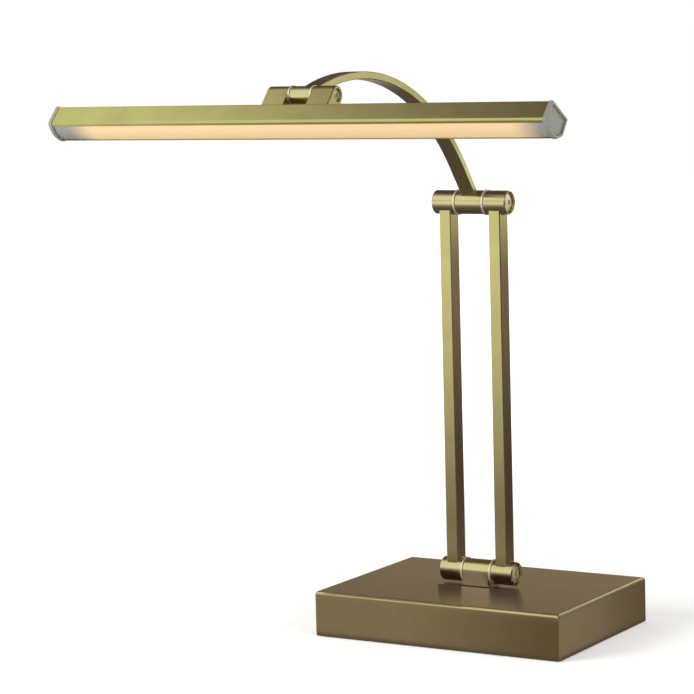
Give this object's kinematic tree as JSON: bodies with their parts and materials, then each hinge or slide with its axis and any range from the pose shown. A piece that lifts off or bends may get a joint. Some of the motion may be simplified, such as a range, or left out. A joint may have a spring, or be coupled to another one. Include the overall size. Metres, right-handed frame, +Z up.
{
  "type": "piano lamp",
  "caption": "Piano lamp with a long slim light head on a curved arm, carried by two upright bars on a flat weighted base, with friction hinges at base, elbow and head.",
  "frame": {"origin": "middle of the face that rests on the table, under the base", "axes": "+X along the base and the light head, to the right seen from the front; +Y to the back; +Z up"},
  "size_m": [0.358, 0.3142, 0.3932],
  "materials": {
    "brushed_brass_cover": "antique brass plating, brushed satin under clear lacquer",
    "brushed_brass_bar": "antique brass plating, brushed satin",
    "turned_brass": "antique brass plating over turned steel, satin",
    "pale_washer": "bright thin brass washer",
    "pivot_screw_brass": "brass-plated pivot screw",
    "brass_channel": "aluminium channel, anodised satin brass colour",
    "cap_grey": "satin nickel-grey cast end cap",
    "frosted_window": "frosted warm white plastic window",
    "board_white": "aluminium circuit board, white mask",
    "led_phosphor": "yellow phosphor over small light emitters",
    "plated_steel": "zinc-plated steel",
    "cast_iron": "as-cast iron, thin black coat",
    "felt_black": "black felt",
    "driver_white": "matte white plastic case",
    "rubber_black": "black rubber",
    "switch_black": "black plastic, fine matte"
  },
  "bodies": {
    "base": {"base_cover": "brushed_brass_cover", "bottom_plate": "plated_steel", "felt_pad": "felt_black", "ballast": "cast_iron", "plate_screws": "plated_steel", "ballast_screws": "plated_steel", "led_driver": "driver_white", "cord_grommet": "rubber_black", "switch_housing": "switch_black", "hinge_block": "turned_brass", "block_bolts": "plated_steel"},
    "rocker": {"switch_rocker": "switch_black"},
    "mast": {"lower_left_knuckle": "turned_brass", "lower_right_knuckle": "turned_brass", "lower_hinge_bolt": "pivot_screw_brass", "lower_hinge_nut": "pivot_screw_brass", "lower_hinge_washers": "pale_washer", "upper_left_knuckle": "turned_brass", "upper_right_knuckle": "turned_brass", "upper_hinge_bolt": "pivot_screw_brass", "upper_hinge_nut": "pivot_screw_brass", "upper_hinge_washers": "pale_washer", "left_bar": "brushed_brass_bar", "right_bar": "brushed_brass_bar"},
    "arm": {"arm_bar": "brushed_brass_bar", "arm_lower_knuckle": "turned_brass", "arm_upper_knuckle": "turned_brass"},
    "head": {"head_housing": "brass_channel", "diffuser": "frosted_window", "led_board": "board_white", "leds": "led_phosphor", "right_end_cap": "cap_grey", "left_end_cap": "cap_grey", "right_cheek": "turned_brass", "left_cheek": "turned_brass", "cheek_screws": "plated_steel", "head_hinge_bolt": "pivot_screw_brass", "head_hinge_nut": "pivot_screw_brass", "head_hinge_washers": "pale_washer"}
  },
  "joints": [
    {"name": "base_hinge", "type": "hinge", "parent": "base", "child": "mast", "pos_m": [0, 0, 0.0415], "axis": [1, 0, 0], "range_deg": [-25, 35]},
    {"name": "elbow_hinge", "type": "hinge", "parent": "mast", "child": "arm", "pos_m": [0, 0, 0.3], "axis": [1, 0, 0], "range_deg": [-35, 55]},
    {"name": "head_hinge", "type": "hinge", "parent": "arm", "child": "head", "pos_m": [0, -0.21638, 0.37976], "axis": [1, 0, 0], "range_deg": [-60, 60]},
    {"name": "switch_tilt", "type": "hinge", "parent": "base", "child": "rocker", "pos_m": [-0.045, 0.0691, 0.0165], "axis": [0, 0, 1], "range_deg": [-18, 0]}
  ]
}
